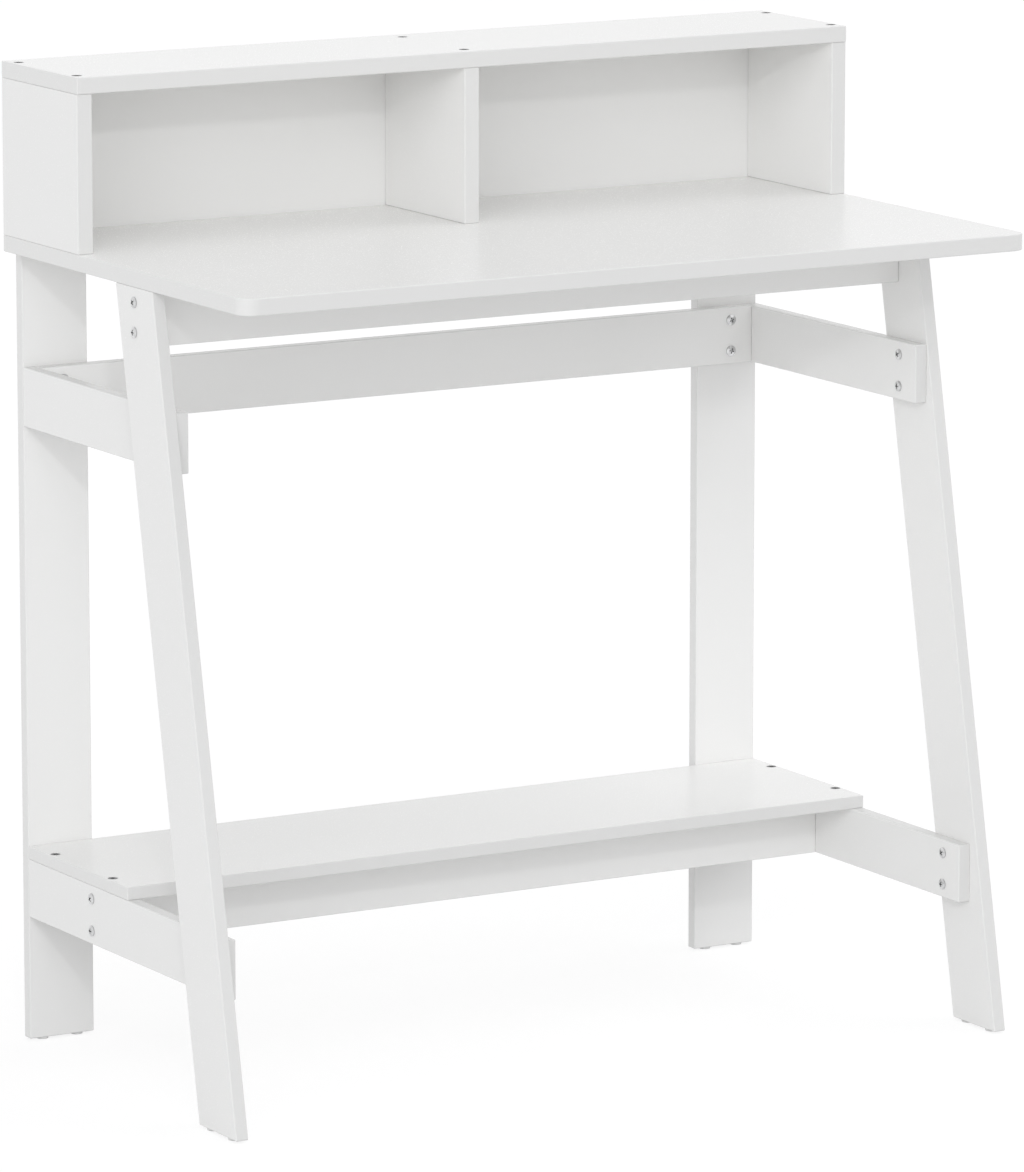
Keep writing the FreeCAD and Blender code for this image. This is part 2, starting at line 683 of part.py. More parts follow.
# Cross rail between the lower side rails, and apron between the front legs
apron_rows = pair(APRON_MID_Z, "apron_screw_pitch")
into_cross_rail = "end_screw_length - rail_board + tip_room"
into_apron = "end_screw_length - front_leg_board + tip_room"
cross_seats = []
apron_seats = []
for side, sign in SIDES.items():
    cross_spots = [(CROSS_MID_Y, z) for z in lower_rows]
    lower_rails[side].drill(OUTER_FACE[side], cross_spots, SHANK_HOLE)
    cross_rail.drill(OUTER_FACE[side], cross_spots, SHANK_HOLE, into_cross_rail)
    cross_seats += driven([(signed(sign, FRAME_HALF), CROSS_MID_Y, z) for z in lower_rows], inward(side))
    apron_spots = [(APRON_MID_Y, z) for z in apron_rows]
    front_legs[side].drill(OUTER_FACE[side], apron_spots, SHANK_HOLE)
    front_apron.drill(OUTER_FACE[side], apron_spots, SHANK_HOLE, into_apron)
    apron_seats += driven([(signed(sign, HALF), APRON_MID_Y, z) for z in apron_rows], inward(side))
place_group("cross_rail_screws", end_screw, cross_seats)
place_group("apron_screws", end_screw, apron_seats)

# Lower shelf on the lower side rails
shelf_rows = [f"{SHELF_FRONT} + shelf_screw_front_inset", f"{LEG_FACE} - shelf_screw_rear_inset"]
shelf_seats = []
for side, sign in SIDES.items():
    spots = [(signed(sign, RAIL_MID_X), y) for y in shelf_rows]
    lower_shelf.countersink("+Z", spots)
    lower_rails[side].drill("+Z", spots, SHANK_HOLE, "flush_screw_length - shelf_board + tip_room")
    shelf_seats += [(x, y, SHELF_TOP) for x, y in spots]
place_group("shelf_screws", hutch_screw, driven(shelf_seats, DOWN))

# Hutch top and desktop on the hutch uprights
hutch_rows = [f"{REAR} - hutch_screw_rear_inset", f"{REAR} - hutch_depth + hutch_screw_front_inset"]
hutch_spots = [(x, y) for x in upright_middles for y in hutch_rows]
hutch_top.countersink("+Z", hutch_spots)
desktop.countersink("-Z", hutch_spots)
for upright, x in zip(uprights, upright_middles):
    spots = [(x, y) for y in hutch_rows]
    upright.drill("+Z", spots, SHANK_HOLE, "flush_screw_length - hutch_board + tip_room")
    upright.drill("-Z", spots, SHANK_HOLE, "flush_screw_length - desktop_board + tip_room")
place_group("hutch_top_screws", hutch_screw, driven([(x, y, HUTCH_TOP) for x, y in hutch_spots], DOWN))
place_group("hutch_base_screws", hutch_screw, driven([(x, y, UNDER) for x, y in hutch_spots], UP))

# Back panel nailed to the uprights, the hutch top and the desktop
rise_step = f"(hutch_clear - 2 * nail_end_rise) / {NAILS_UP - 1}"
along_step = f"(desk_width - 2 * nail_end_inset) / {NAILS_ALONG - 1}"
columns = [f"desk_height + nail_end_rise + {i} * {rise_step}" for i in range(NAILS_UP)]
across = [f"nail_end_inset - {HALF} + {i} * {along_step}" for i in range(NAILS_ALONG)]
nail_depth = "nail_length - panel_board + tip_room"
nail_spots = []
for upright, x in zip(uprights, upright_middles):
    spots = [(x, z) for z in columns]
    upright.drill("+Y", spots, NAIL_HOLE, nail_depth)
    nail_spots += spots
for row_board, z in (
    (hutch_top, f"{HUTCH_TOP} - hutch_board / 2"),
    (desktop, "desk_height - panel_lap / 2"),
):
    spots = [(x, z) for x in across]
    row_board.drill("+Y", spots, NAIL_HOLE, nail_depth)
    nail_spots += spots
back_panel.drill("+Y", nail_spots, NAIL_HOLE)
nail_seats = [(x, f"{REAR} + panel_board", z) for x, z in nail_spots]
place_group("hutch_back_nails", nail, driven(nail_seats, FORWARD))

# Dowels and angle brackets between the legs, the apron and the desktop
dowel_depth = f"dowel_length - {DOWEL_RISE} + tip_room"
dowel_spots = []
for side, sign in SIDES.items():
    rear_middle = f"({FRAME_HALF} - rear_leg_width / 2)"
    rear_spots = [
        (signed(sign, x), f"{LEG_FACE} + rear_leg_board / 2") for x in pair(rear_middle, "dowel_pitch")
    ]
    head_middle = f"({FOOT_FRONT} + front_leg_lean + front_leg_width / 2)"
    front_spots = [
        (signed(sign, f"{HALF} - front_leg_board / 2"), y) for y in pair(head_middle, "dowel_pitch")
    ]
    rear_legs[side].drill("+Z", rear_spots, DOWEL_HOLE, dowel_depth)
    front_legs[side].drill("+Z", front_spots, DOWEL_HOLE, dowel_depth)
    dowel_spots += rear_spots + front_spots
desktop.drill("-Z", dowel_spots, DOWEL_HOLE, f"{DOWEL_RISE} + tip_room")
dowel_foot = f"{UNDER} + {DOWEL_RISE} - dowel_length"
place_group("desktop_dowels", dowel, driven([(x, y, dowel_foot) for x, y in dowel_spots], DOWN))

bracket_depth = "bracket_screw_length - bracket_steel + tip_room"
bracket_foot = f"{UNDER} - bracket_leg"
bracket_row = f"{UNDER} - bracket_hole"
bracket_under = f"{UNDER} - bracket_steel"
apron_rear = f"({APRON_FRONT} + apron_board)"
leg_inner = f"({FRAME_HALF} - rear_leg_width)"
leg_mid_y = f"({LEG_FACE} + rear_leg_board / 2)"
straight = FreeCAD.Rotation()
bracket_seats = []
bracket_screw_seats = []
bracket_up_spots = []
apron_bracket_x = ["-bracket_pitch", "0", "bracket_pitch"]
for x in apron_bracket_x:
    bracket_seats.append(((f"{x} - bracket_width / 2", apron_rear, bracket_foot), straight))
    bracket_screw_seats += driven([(x, f"{apron_rear} + bracket_steel", bracket_row)], FORWARD)
    bracket_up_spots.append((x, f"{apron_rear} + bracket_hole"))
front_apron.drill("+Y", [(x, bracket_row) for x in apron_bracket_x], BRACKET_SCREW_HOLE, bracket_depth)
for side, sign in SIDES.items():
    quarter_turn = FreeCAD.Rotation(FreeCAD.Vector(0, 0, 1), 90 * sign)
    near_y = f"{leg_mid_y} - {sign} * bracket_width / 2"
    bracket_seats.append(((signed(sign, leg_inner), near_y, bracket_foot), quarter_turn))
    leaf_x = signed(sign, f"{leg_inner} - bracket_steel")
    bracket_screw_seats += driven([(leaf_x, leg_mid_y, bracket_row)], outward(side))
    bracket_up_spots.append((signed(sign, f"{leg_inner} - bracket_hole"), leg_mid_y))
    rear_legs[side].drill(INNER_FACE[side], [(leg_mid_y, bracket_row)], BRACKET_SCREW_HOLE, bracket_depth)
desktop.drill("-Z", bracket_up_spots, BRACKET_SCREW_HOLE, bracket_depth)
bracket_screw_seats += driven([(x, y, bracket_under) for x, y in bracket_up_spots], UP)
place_group("desktop_brackets", bracket, bracket_seats)
place_group("bracket_screws", bracket_screw, bracket_screw_seats)

# Glides under the feet
glide_depth = "glide_nail_length + tip_room"
glide_spots = []
for side, sign in SIDES.items():
    rear_spots = [
        (signed(sign, x), leg_mid_y)
        for x in (f"{FRAME_HALF} - glide_inset", f"{leg_inner} + glide_inset")
    ]
    front_spots = [
        (signed(sign, f"{HALF} - front_leg_board / 2"), y)
        for y in (f"{FOOT_FRONT} + glide_inset", f"{FOOT_FRONT} + front_leg_width - glide_inset")
    ]
    rear_legs[side].drill("-Z", rear_spots, GLIDE_HOLE, glide_depth)
    front_legs[side].drill("-Z", front_spots, GLIDE_HOLE, glide_depth)
    glide_spots += rear_spots + front_spots
place_group("foot_glides", glide, driven([(x, y, "0") for x, y in glide_spots], DOWN))
doc.recompute()

# Checks, then one file for each piece or group
boards = [desktop, hutch_top, *uprights, back_panel, front_apron, rear_rail, cross_rail, lower_shelf]
for sets in (rear_legs, front_legs, upper_rails, lower_rails):
    boards += sets.values()
nodes = [board.body for board in boards] + groups

for item in doc.Objects:
    if "Invalid" in item.State or "Error" in item.State:
        raise RuntimeError(f"{item.Label} failed: {item.State}")
for node in nodes:
    wanted = len(node.Links) if node in groups else 1
    if node.Shape.isNull() or not node.Shape.isValid() or len(node.Shape.Solids) != wanted:
        raise RuntimeError(f"{node.Label} is not {wanted} sound solids")

os.makedirs("parts", exist_ok=True)
whole = FreeCAD.BoundBox()
for node in nodes:
    node.Shape.exportStep(os.path.join("parts", f"{node.Label}.step"))
    whole.add(node.Shape.optimalBoundingBox(False))
print(f"{len(nodes)} nodes, {sum(len(node.Shape.Solids) for node in nodes)} solids")
print(f"x {whole.XMin:.2f} to {whole.XMax:.2f}, y {whole.YMin:.2f} to {whole.YMax:.2f}, "
      f"z {whole.ZMin:.2f} to {whole.ZMax:.2f}")
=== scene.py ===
"""Looks for a white A-frame writing desk with a hutch: finishes for its boards and fixings, and a studio.

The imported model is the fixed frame. Every board and fixing keeps its own shape and gets a finish here.
"""

from math import radians

import bpy
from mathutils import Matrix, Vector


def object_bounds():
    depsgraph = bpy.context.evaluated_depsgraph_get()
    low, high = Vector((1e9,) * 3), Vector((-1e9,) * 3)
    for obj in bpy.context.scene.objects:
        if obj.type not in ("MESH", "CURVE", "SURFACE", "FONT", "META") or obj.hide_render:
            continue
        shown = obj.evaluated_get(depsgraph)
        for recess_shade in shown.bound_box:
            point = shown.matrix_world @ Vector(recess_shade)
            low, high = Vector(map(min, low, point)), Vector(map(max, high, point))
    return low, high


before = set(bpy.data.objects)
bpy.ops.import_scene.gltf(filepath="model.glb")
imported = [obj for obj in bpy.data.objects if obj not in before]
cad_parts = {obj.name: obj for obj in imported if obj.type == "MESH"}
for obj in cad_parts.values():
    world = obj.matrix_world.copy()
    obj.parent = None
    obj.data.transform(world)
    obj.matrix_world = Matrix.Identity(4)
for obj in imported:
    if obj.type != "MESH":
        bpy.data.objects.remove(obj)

CAD_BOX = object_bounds()

bl_info = {
    "name": "A-frame desk with hutch",
    "version": (1, 0, 0),
    "blender": (4, 5, 0),
    "location": "View3D > Sidebar > Desk",
    "description": "Finishes the boards and fixings of a white writing desk and sets up a studio for it",
    "category": "Object",
}

BOARDS_BY_THICKNESS = {
    "X": (
        "hutch_left_side",
        "hutch_divider",
        "hutch_right_side",
        "left_front_leg",
        "right_front_leg",
        "upper_left_side_rail",
        "upper_right_side_rail",
        "lower_left_side_rail",
        "lower_right_side_rail",
    ),
    "Y": ("front_apron", "rear_rail", "shelf_cross_rail", "left_rear_leg", "right_rear_leg"),
    "Z": ("desktop", "hutch_top", "lower_shelf"),
}
PAN_SCREWS = (
    "rear_rail_screws",
    "upper_rail_front_screws",
    "upper_rail_rear_screws",
    "lower_rail_front_screws",
    "lower_rail_rear_screws",
    "cross_rail_screws",
    "apron_screws",
    "bracket_screws",
)
FLUSH_SCREWS = ("shelf_screws", "hutch_top_screws", "hutch_base_screws")

# Spacing of the patterns in the finishes, in metres
FOIL_DRIFT = 0.35
PANEL_DRIFT = 0.25
PANEL_PEEL = 0.003
ZINC_BLOTCH = 0.004
ZINC_SCUFF = 0.0009
BEECH_PORE = 0.0008
PLASTIC_CLOUD = 0.006
PLASTIC_GRAIN = 0.0006

# Layers of finer noise in the patterns, and the range that most of a noise's values lie in
SMOOTH = 2.0
CLOUDED = 3.0
FINE = 4.0
NOISE_RANGE = (0.3, 0.7)

# Depth of the patterns' relief, in metres
PEEL_DEPTH = 0.00001
SCUFF_DEPTH = 0.00001
PORE_DEPTH = 0.00004
GRAIN_DEPTH = 0.00002

# Roughness, from the smoothest to the dullest spot; the foil swings to each side of its own
FOIL_SWING = 0.015
PANEL_ROUGHNESS = (0.40, 0.52)
ZINC_ROUGHNESS = (0.09, 0.27)
FLUSH_ROUGHNESS = (0.34, 0.52)
BEECH_ROUGHNESS = (0.50, 0.70)
PLASTIC_ROUGHNESS = (0.40, 0.55)

# Brightness of the plating seen at a grazing angle
ZINC_GRAZE = 1.0
FLUSH_GRAZE = 0.25

# How far a spot leans from the board's own faces, as a cosine, where the painted edge shade ends and where
# the face starts
EDGE_SHADE_TO_FACE = (0.75, 0.98)

COATING_IOR = 1.46
PLASTIC_IOR = 1.5

# Share of dull plating in a blotch, and how far in metres the painted shade in a recess reaches
BLOTCH_SHARE = 0.35
RECESS_SHADE_REACH = 0.0035
RECESS_SAMPLES = 12

# Length of a pore beside its width, and how dark pores and clouds are beside the plain colour
PORE_LENGTH = 12.5
PORE_TONE = 0.72
CLOUD_TONE = 0.93

# Half the floor's width and the camera's reach in metres, its sensor in millimetres, and its tilt when level
FLOOR_HALF = 30.0
VIEW_REACH = 100.0
SENSOR = 36.0
LEVEL = radians(90.0)

# Places of the two colours and of the result among a mix node's sockets
MIX_COLOURS = (6, 7)
MIX_RESULT = 2

WHITE = (1.0, 1.0, 1.0, 1.0)


class BoardFinish(bpy.types.PropertyGroup):
    """The satin white foil on the boards, and painted shade on their edges, darker on the front and rear
    edges than on the left and right ones.
    """

    colour: bpy.props.FloatVectorProperty(
        name="Foil colour",
        description="Colour of the white foil",
        subtype="COLOR",
        size=3,
        min=0.0,
        max=1.0,
        default=(0.930, 0.927, 0.915),
    )
    shade: bpy.props.FloatVectorProperty(
        name="Foil shade",
        description="Slightly greyer colour that drifts through the foil",
        subtype="COLOR",
        size=3,
        min=0.0,
        max=1.0,
        default=(0.917, 0.914, 0.902),
    )
    # Painted shade: the front and rear edges are painted darker than the faces, standing in for less light
    # falling on them.
    painted_edge_shade: bpy.props.FloatVectorProperty(
        name="Edge band",
        description="Tone of the band on the boards' front and rear edges",
        subtype="COLOR",
        size=3,
        min=0.0,
        max=1.0,
        default=(0.765, 0.763, 0.753),
    )
    # Painted shade: the left and right edges are painted a little darker than the faces.
    painted_end_shade: bpy.props.FloatVectorProperty(
        name="End band",
        description="Tone of the band on the boards' left and right edges",
        subtype="COLOR",
        size=3,
        min=0.0,
        max=1.0,
        default=(0.855, 0.853, 0.841),
    )
    roughness: bpy.props.FloatProperty(
        name="Roughness",
        description="How dull the foil is",
        subtype="FACTOR",
        min=0.0,
        max=1.0,
        default=0.26,
    )
    emboss: bpy.props.FloatProperty(
        name="Emboss depth",
        description="Depth of the fine pearl pressed into the foil",
        unit="LENGTH",
        default=0.000005,
    )
    pearl: bpy.props.FloatProperty(
        name="Pearl size",
        description="Spacing of the bumps in the foil",
        unit="LENGTH",
        default=0.0011,
    )


class PanelFinish(bpy.types.PropertyGroup):
    """The thin back panel of the hutch."""

    colour: bpy.props.FloatVectorProperty(
        name="Panel colour",
        description="Colour of the panel's lacquer",
        subtype="COLOR",
        size=3,
        min=0.0,
        max=1.0,
        default=(0.950, 0.947, 0.935),
    )
    shade: bpy.props.FloatVectorProperty(
        name="Panel shade",
        description="Slightly greyer colour that drifts through the lacquer",
        subtype="COLOR",
        size=3,
        min=0.0,
        max=1.0,
        default=(0.937, 0.934, 0.922),
    )


class FixingFinish(bpy.types.PropertyGroup):
    """Zinc-plated steel and the other small fixings."""

    zinc: bpy.props.FloatVectorProperty(
        name="Zinc",
        description="Colour of the zinc plating",
        subtype="COLOR",
        size=3,
        min=0.0,
        max=1.0,
        default=(0.74, 0.745, 0.75),
    )
    # Also painted shade: in recesses and round each head's rim the plating is blended towards this colour.
    dull_zinc_and_shade: bpy.props.FloatVectorProperty(
        name="Dull zinc",
        description="Colour of the plating where it is dull or in a recess",
        subtype="COLOR",
        size=3,
        min=0.0,
        max=1.0,
        default=(0.16, 0.16, 0.165),
    )
    flush_zinc: bpy.props.FloatVectorProperty(
        name="Flush heads",
        description="Colour of the countersunk screws",
        subtype="COLOR",
        size=3,
        min=0.0,
        max=1.0,
        default=(0.54, 0.54, 0.545),
    )
    beech: bpy.props.FloatVectorProperty(
        name="Beech",
        description="Colour of the dowels",
        subtype="COLOR",
        size=3,
        min=0.0,
        max=1.0,
        default=(0.62, 0.44, 0.27),
    )
    plastic: bpy.props.FloatVectorProperty(
        name="Glide plastic",
        description="Colour of the foot glides",
        subtype="COLOR",
        size=3,
        min=0.0,
        max=1.0,
        default=(0.78, 0.78, 0.77),
    )


class Studio(bpy.types.PropertyGroup):
    """Floor, lamps and camera."""

    eye: bpy.props.FloatVectorProperty(
        name="Camera place",
        description="Where the camera stands",
        subtype="TRANSLATION",
        unit="LENGTH",
        size=3,
        default=(-3.4864, -6.0003, 1.7247),
    )
    yaw: bpy.props.FloatProperty(
        name="Camera turn",
        description="Turn of the camera to the right of the desk's own front-to-rear line",
        subtype="ANGLE",
        default=radians(30.132),
    )
    pitch: bpy.props.FloatProperty(
        name="Camera tilt",
        description="Tilt of the camera below the horizon",
        subtype="ANGLE",
        default=radians(10.636),
    )
    lens: bpy.props.FloatProperty(
        name="Lens",
        description="Focal length in millimetres on a sensor 36 mm along the picture's longer side",
        unit="CAMERA",
        default=239.59,
    )
    ambient: bpy.props.FloatProperty(
        name="Ambient",
        description="Strength of the even light from all round",
        default=0.65,
    )
    ambient_colour: bpy.props.FloatVectorProperty(
        name="Ambient colour",
        description="Colour of the even light, a little cool",
        subtype="COLOR",
        size=3,
        default=(0.985, 0.99, 1.0),
    )
    lamp_colour: bpy.props.FloatVectorProperty(
        name="Lamp colour",
        description="Colour of the lamps, a little cool",
        subtype="COLOR",
        size=3,
        min=0.0,
        max=1.0,
        default=(0.957, 0.962, 0.975),
    )
    key: bpy.props.FloatProperty(
        name="Key lamp",
        description="Power of the small lamp in front on the left, in watts",
        unit="POWER",
        default=18.0,
    )
    key_place: bpy.props.FloatVectorProperty(
        name="Key place",
        description="Where the key lamp hangs",
        subtype="TRANSLATION",
        unit="LENGTH",
        size=3,
        default=(-2.21, -4.05, 2.44),
    )
    key_size: bpy.props.FloatProperty(
        name="Key size",
        description="Diameter of the key lamp",
        unit="LENGTH",
        default=0.2,
    )
    left: bpy.props.FloatProperty(
        name="Left light",
        description="Strength of the broad, low light from the left",
        default=0.508,
    )
    left_direction: bpy.props.FloatVectorProperty(
        name="Left direction",
        description="Way in which the left light shines",
        subtype="DIRECTION",
        size=3,
        default=(0.861, 0.497, -0.105),
    )
    front: bpy.props.FloatProperty(
        name="Front light",
        description="Strength of the broad light from the front",
        default=0.53,
    )
    front_direction: bpy.props.FloatVectorProperty(
        name="Front direction",
        description="Way in which the front light shines",
        subtype="DIRECTION",
        size=3,
        default=(0.449, 0.778, -0.438),
    )
    right: bpy.props.FloatProperty(
        name="Right light",
        description="Strength of the broad, high light from the right",
        default=0.584,
    )
    right_direction: bpy.props.FloatVectorProperty(
        name="Right direction",
        description="Way in which the right light shines",
        subtype="DIRECTION",
        size=3,
        default=(-0.604, 0.22, -0.766),
    )
    spread: bpy.props.FloatProperty(
        name="Spread",
        description="Angle that each broad light fills",
        subtype="ANGLE",
        default=radians(40.0),
    )
    floor_albedo: bpy.props.FloatProperty(
        name="Floor",
        description="How pale the floor is",
        subtype="FACTOR",
        min=0.0,
        max=1.0,
        default=0.75,
    )
    floor_light: bpy.props.FloatProperty(
        name="Floor light",
        description="Light on the open floor, beside which the shadow shows",
        min=0.0,
        default=0.8,
    )
    floor_shadow: bpy.props.FloatProperty(
        name="Floor shadow",
        description="How much of the shadow on the floor the camera sees",
        subtype="FACTOR",
        min=0.0,
        max=1.0,
        default=0.2,
    )


class NodeBench:
    """A material's nodes, made and joined one at a time."""

    def __init__(self, tree):
        self.tree = tree
        tree.nodes.clear()

    def add(self, kind, **values):
        node = self.tree.nodes.new(kind)
        for name, value in values.items():
            setattr(node, name, value)
        return node

    def join(self, source, target):
        self.tree.links.new(source, target)

    def object_points(self):
        return self.add("ShaderNodeTexCoord").outputs["Object"]

    def noise(self, points, size, detail=SMOOTH):
        """Noise whose features are about size metres across."""
        node = self.add("ShaderNodeTexNoise")
        node.inputs["Scale"].default_value = 1.0 / size
        node.inputs["Detail"].default_value = detail
        self.join(points, node.inputs["Vector"])
        return node.outputs["Fac"]

    def spread(self, source, low=0.0, high=1.0, within=NOISE_RANGE):
        """A value that lies within a range, such as a noise, spread from low to high."""
        node = self.add("ShaderNodeMapRange")
        node.inputs["From Min"].default_value = within[0]
        node.inputs["From Max"].default_value = within[1]
        node.inputs["To Min"].default_value = low
        node.inputs["To Max"].default_value = high
        self.join(source, node.inputs["Value"])
        return node.outputs["Result"]

    def size_of(self, source):
        """A value without its sign."""
        node = self.add("ShaderNodeMath", operation="ABSOLUTE")
        self.join(source, node.inputs[0])
        return node.outputs["Value"]

    def blend(self, factor, first, second):
        """A colour between two colours."""
        node = self.add("ShaderNodeMix", data_type="RGBA")
        self.join(factor, node.inputs["Factor"])
        for place, value in zip(MIX_COLOURS, (first, second)):
            if isinstance(value, bpy.types.NodeSocket):
                self.join(value, node.inputs[place])
            else:
                node.inputs[place].default_value = (*value, 1.0)
        return node.outputs[MIX_RESULT]

    def bump(self, height, depth):
        node = self.add("ShaderNodeBump")
        node.inputs["Distance"].default_value = depth
        self.join(height, node.inputs["Height"])
        return node.outputs["Normal"]

    def surface(self, colour, roughness, normal=None, **values):
        """The shader: colour and roughness come from nodes, the rest is set on its own sockets."""
        shader = self.add("ShaderNodeBsdfPrincipled")
        self.join(colour, shader.inputs["Base Color"])
        self.join(roughness, shader.inputs["Roughness"])
        if normal is not None:
            self.join(normal, shader.inputs["Normal"])
        for name, value in values.items():
            shader.inputs[name.replace("_", " ")].default_value = value
        output = self.add("ShaderNodeOutputMaterial")
        self.join(shader.outputs["BSDF"], output.inputs["Surface"])


def new_material(name):
    material = bpy.data.materials.new(name)
    material.use_nodes = True
    return material, NodeBench(material.node_tree)


def dress(nodes, material):
    """Give carried-over boards or fixings a finish."""
    for name in nodes:
        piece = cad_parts[name]
        piece.data.materials.clear()
        piece.data.materials.append(material)


def white_foil(finish, thickness):
    """Satin white foil: a fine pearl, a faint drift in its tone, and painted shade round the edges, darker
    on the front and rear edges than on the ends.
    """
    material, bench = new_material(f"white_foil_{thickness.lower()}")
    points = bench.object_points()
    drift = bench.spread(bench.noise(points, FOIL_DRIFT, CLOUDED))
    face = bench.blend(drift, finish.colour, finish.shade)
    # Painted shade on the edges: darker than the faces, and darker on front and rear edges than on left and
    # right ones, chosen by which way each spot faces.
    side = bench.add("ShaderNodeSeparateXYZ")
    bench.join(bench.add("ShaderNodeNewGeometry").outputs["Normal"], side.inputs["Vector"])
    sideways = bench.size_of(side.outputs["X"])
    edge = bench.blend(sideways, finish.painted_edge_shade, finish.painted_end_shade)
    flat = bench.spread(bench.size_of(side.outputs[thickness]), within=EDGE_SHADE_TO_FACE)
    colour = bench.blend(flat, edge, face)
    pearl = bench.noise(points, finish.pearl)
    roughness = bench.spread(pearl, finish.roughness - FOIL_SWING, finish.roughness + FOIL_SWING)
    bench.surface(colour, roughness, bench.bump(pearl, finish.emboss), IOR=COATING_IOR)
    return material


def panel_lacquer(finish):
    """White lacquer on hardboard: the faint peel of a roller, and a faint drift in its tone."""
    material, bench = new_material("panel_lacquer")
    points = bench.object_points()
    drift = bench.spread(bench.noise(points, PANEL_DRIFT, CLOUDED))
    colour = bench.blend(drift, finish.colour, finish.shade)
    peel = bench.noise(points, PANEL_PEEL)
    roughness = bench.spread(peel, *PANEL_ROUGHNESS)
    bench.surface(colour, roughness, bench.bump(peel, PEEL_DEPTH), IOR=COATING_IOR)
    return material


def plated_steel(name, bright, dull_and_shade, roughness, graze):
    """Zinc plating: a little blotchy, fine scuffs, and painted shade in the recesses."""
    material, bench = new_material(name)
    points = bench.object_points()
    blotch = bench.spread(bench.noise(points, ZINC_BLOTCH, CLOUDED), high=BLOTCH_SHARE)
    plating = bench.blend(blotch, bright, dull_and_shade)
    # Painted shade: ambient occlusion blends the plating towards the dull colour in recesses and round each
    # head's rim.
    recess_shade = bench.add("ShaderNodeAmbientOcclusion", samples=RECESS_SAMPLES)
    recess_shade.inputs["Distance"].default_value = RECESS_SHADE_REACH
    colour = bench.blend(bench.spread(recess_shade.outputs["AO"]), dull_and_shade, plating)
    scuff = bench.noise(points, ZINC_SCUFF, FINE)
    tint = (graze, graze, graze, 1.0)
    dent = bench.bump(scuff, SCUFF_DEPTH)
    bench.surface(colour, bench.spread(scuff, *roughness), dent, Metallic=1.0, Specular_Tint=tint)
    return material


def bare_beech(colour):
    """Beech dowels: long fine pores along the dowel."""
    material, bench = new_material("bare_beech")
    stretch = bench.add("ShaderNodeMapping")
    stretch.inputs["Scale"].default_value = (1.0, 1.0, 1.0 / PORE_LENGTH)
    bench.join(bench.object_points(), stretch.inputs["Vector"])
    pores = bench.noise(stretch.outputs["Vector"], BEECH_PORE, FINE)
    deep = [PORE_TONE * part for part in colour]
    grain = bench.blend(bench.spread(pores), colour, deep)
    bench.surface(grain, bench.spread(pores, *BEECH_ROUGHNESS), bench.bump(pores, PORE_DEPTH))
    return material


def moulded_plastic(colour):
    """Glides: hard plastic with a fine moulded grain."""
    material, bench = new_material("moulded_plastic")
    points = bench.object_points()
    deep = [CLOUD_TONE * part for part in colour]
    tone = bench.blend(bench.spread(bench.noise(points, PLASTIC_CLOUD)), colour, deep)
    grain = bench.noise(points, PLASTIC_GRAIN)
    roughness = bench.spread(grain, *PLASTIC_ROUGHNESS)
    bench.surface(tone, roughness, bench.bump(grain, GRAIN_DEPTH), IOR=PLASTIC_IOR)
    return material


class DESK_OT_boards(bpy.types.Operator):
    """Wrap every board in white foil"""

    bl_idname = "desk.boards"
    bl_label = "Boards"

    def execute(self, context):
        for thickness, boards in BOARDS_BY_THICKNESS.items():
            dress(boards, white_foil(context.scene.desk_boards, thickness))
        return {"FINISHED"}


class DESK_OT_back_panel(bpy.types.Operator):
    """Lacquer the hutch's back panel"""

    bl_idname = "desk.back_panel"
    bl_label = "Back panel"

    def execute(self, context):
        dress(["hutch_back_panel"], panel_lacquer(context.scene.desk_panel))
        return {"FINISHED"}


class DESK_OT_screws(bpy.types.Operator):
    """Plate the screws, nails and brackets"""

    bl_idname = "desk.screws"
    bl_label = "Screws, nails and brackets"

    def execute(self, context):
        finish = context.scene.desk_fixings
        dark = finish.dull_zinc_and_shade
        zinc = plated_steel("zinc_plate", finish.zinc, dark, ZINC_ROUGHNESS, ZINC_GRAZE)
        dull_and_shade = plated_steel("dull_zinc_plate", finish.flush_zinc, dark, FLUSH_ROUGHNESS, FLUSH_GRAZE)
        dress([*PAN_SCREWS, "hutch_back_nails", "desktop_brackets"], zinc)
        dress(FLUSH_SCREWS, dull_and_shade)
        return {"FINISHED"}


class DESK_OT_dowels(bpy.types.Operator):
    """Give the dowels their beech grain"""

    bl_idname = "desk.dowels"
    bl_label = "Dowels"

    def execute(self, context):
        dress(["desktop_dowels"], bare_beech(context.scene.desk_fixings.beech))
        return {"FINISHED"}


class DESK_OT_glides(bpy.types.Operator):
    """Give the foot glides their plastic"""

    bl_idname = "desk.glides"
    bl_label = "Foot glides"

    def execute(self, context):
        dress(["foot_glides"], moulded_plastic(context.scene.desk_fixings.plastic))
        return {"FINISHED"}


def seen_directly(bench):
    """1 where the ray comes from the camera, a gloss or a glass, else 0."""
    path = bench.add("ShaderNodeLightPath")
    total = path.outputs["Is Camera Ray"]
    for other in ("Is Glossy Ray", "Is Transmission Ray"):
        step = bench.add("ShaderNodeMath", operation="MAXIMUM")
        bench.join(total, step.inputs[0])
        bench.join(path.outputs[other], step.inputs[1])
        total = step.outputs["Value"]
    return total


def light_world(scene, studio):
    """Even light from all round, white where it is seen directly."""
    world = bpy.data.worlds.new("studio_air")
    world.use_nodes = True
    scene.world = world
    bench = NodeBench(world.node_tree)
    lit = bench.add("ShaderNodeBackground")
    lit.inputs["Color"].default_value = (*studio.ambient_colour, 1.0)
    lit.inputs["Strength"].default_value = studio.ambient
    white = bench.add("ShaderNodeBackground")
    white.inputs["Color"].default_value = WHITE
    choice = bench.add("ShaderNodeMixShader")
    bench.join(seen_directly(bench), choice.inputs["Fac"])
    bench.join(lit.outputs["Background"], choice.inputs[1])
    bench.join(white.outputs["Background"], choice.inputs[2])
    output = bench.add("ShaderNodeOutputWorld")
    bench.join(choice.outputs["Shader"], output.inputs["Surface"])


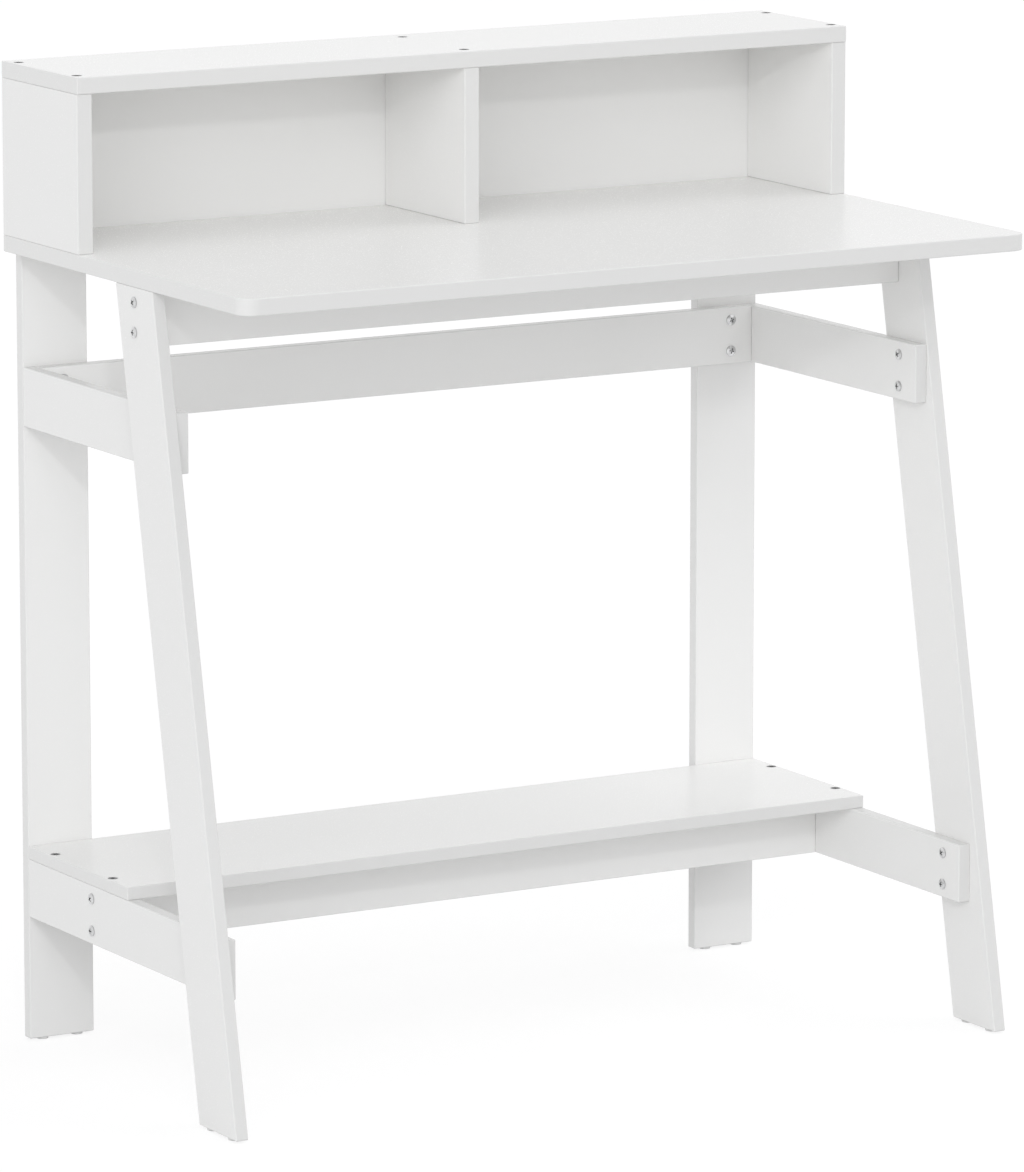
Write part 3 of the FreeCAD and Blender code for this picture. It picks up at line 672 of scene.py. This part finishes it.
def lay_floor(studio):
    """A plain pale floor; the camera sees it white, with a faint shadow."""
    material, bench = new_material("studio_floor")
    pale = bench.add("ShaderNodeBsdfDiffuse")
    pale.inputs["Color"].default_value = (*[studio.floor_albedo] * 3, 1.0)
    shadowed = bench.add("ShaderNodeBsdfDiffuse")
    shadowed.inputs["Color"].default_value = (*[studio.floor_shadow] * 3, 1.0)
    glow = bench.add("ShaderNodeEmission")
    glow.inputs["Strength"].default_value = 1.0 - studio.floor_shadow * studio.floor_light
    bright = bench.add("ShaderNodeAddShader")
    bench.join(shadowed.outputs["BSDF"], bright.inputs[0])
    bench.join(glow.outputs["Emission"], bright.inputs[1])
    choice = bench.add("ShaderNodeMixShader")
    bench.join(seen_directly(bench), choice.inputs["Fac"])
    bench.join(pale.outputs["BSDF"], choice.inputs[1])
    bench.join(bright.outputs["Shader"], choice.inputs[2])
    output = bench.add("ShaderNodeOutputMaterial")
    bench.join(choice.outputs["Shader"], output.inputs["Surface"])
    mesh = bpy.data.meshes.new("studio_floor")
    corners = [(-1, -1), (1, -1), (1, 1), (-1, 1)]
    mesh.from_pydata([(FLOOR_HALF * x, FLOOR_HALF * y, 0.0) for x, y in corners], [], [(0, 1, 2, 3)])
    mesh.materials.append(material)
    floor = bpy.data.objects.new("studio_floor", mesh)
    bpy.context.scene.collection.objects.link(floor)


def hang_lamp(name, kind, power, colour, direction, **values):
    """A lamp that shines along a direction. Glossy faces mirror the white room and not the lamp as well."""
    lamp = bpy.data.lights.new(name, kind)
    lamp.energy = power
    lamp.color = colour
    for key, value in values.items():
        setattr(lamp, key, value)
    holder = bpy.data.objects.new(name, lamp)
    holder.rotation_mode = "QUATERNION"
    holder.rotation_quaternion = Vector(direction).to_track_quat("-Z", "Y")
    holder.visible_glossy = False
    bpy.context.scene.collection.objects.link(holder)
    return holder


class DESK_OT_stage(bpy.types.Operator):
    """Lay the floor, hang the lamps and set up the camera"""

    bl_idname = "desk.stage"
    bl_label = "Studio"

    def execute(self, context):
        scene = context.scene
        studio = scene.desk_studio
        scene.view_settings.view_transform = "Standard"
        light_world(scene, studio)
        lay_floor(studio)
        aim = (CAD_BOX[0] + CAD_BOX[1]) / 2 - Vector(studio.key_place)
        colour = studio.lamp_colour
        key = hang_lamp("key_lamp", "AREA", studio.key, colour, aim, shape="DISK", size=studio.key_size)
        key.location = studio.key_place
        for side in ("left", "front", "right"):
            power, way = getattr(studio, side), getattr(studio, side + "_direction")
            hang_lamp(f"{side}_light", "SUN", power, colour, way, angle=studio.spread)
        camera = bpy.data.cameras.new("desk_camera")
        camera.sensor_width = SENSOR
        camera.lens = studio.lens
        camera.clip_end = VIEW_REACH
        holder = bpy.data.objects.new("desk_camera", camera)
        holder.location = studio.eye
        holder.rotation_euler = (LEVEL - studio.pitch, 0.0, -studio.yaw)
        scene.collection.objects.link(holder)
        scene.camera = holder
        return {"FINISHED"}


class DESK_PT_sidebar(bpy.types.Panel):
    """Lists the desk's finishes and its studio"""

    bl_idname = "DESK_PT_sidebar"
    bl_label = "A-frame desk"
    bl_space_type = "VIEW_3D"
    bl_region_type = "UI"
    bl_category = "Desk"

    def draw(self, context):
        for operator in OPERATORS:
            self.layout.operator(operator.bl_idname, text=operator.bl_label)
        for group in GROUPS:
            settings = getattr(context.scene, group)
            for name in settings.bl_rna.properties.keys():
                if name not in ("rna_type", "name"):
                    self.layout.prop(settings, name)


OPERATORS = (
    DESK_OT_boards,
    DESK_OT_back_panel,
    DESK_OT_screws,
    DESK_OT_dowels,
    DESK_OT_glides,
    DESK_OT_stage,
)
GROUPS = {
    "desk_boards": BoardFinish,
    "desk_panel": PanelFinish,
    "desk_fixings": FixingFinish,
    "desk_studio": Studio,
}


def register():
    for group in GROUPS.values():
        bpy.utils.register_class(group)
    for name, group in GROUPS.items():
        setattr(bpy.types.Scene, name, bpy.props.PointerProperty(type=group))
    for operator in OPERATORS:
        bpy.utils.register_class(operator)
    bpy.utils.register_class(DESK_PT_sidebar)


def unregister():
    bpy.utils.unregister_class(DESK_PT_sidebar)
    for operator in reversed(OPERATORS):
        bpy.utils.unregister_class(operator)
    for name, group in GROUPS.items():
        delattr(bpy.types.Scene, name)
        bpy.utils.unregister_class(group)


def main():
    register()
    bpy.ops.desk.boards()
    bpy.ops.desk.back_panel()
    bpy.ops.desk.screws()
    bpy.ops.desk.dowels()
    bpy.ops.desk.glides()
    bpy.ops.desk.stage()


if __name__ == "__main__":
    main()
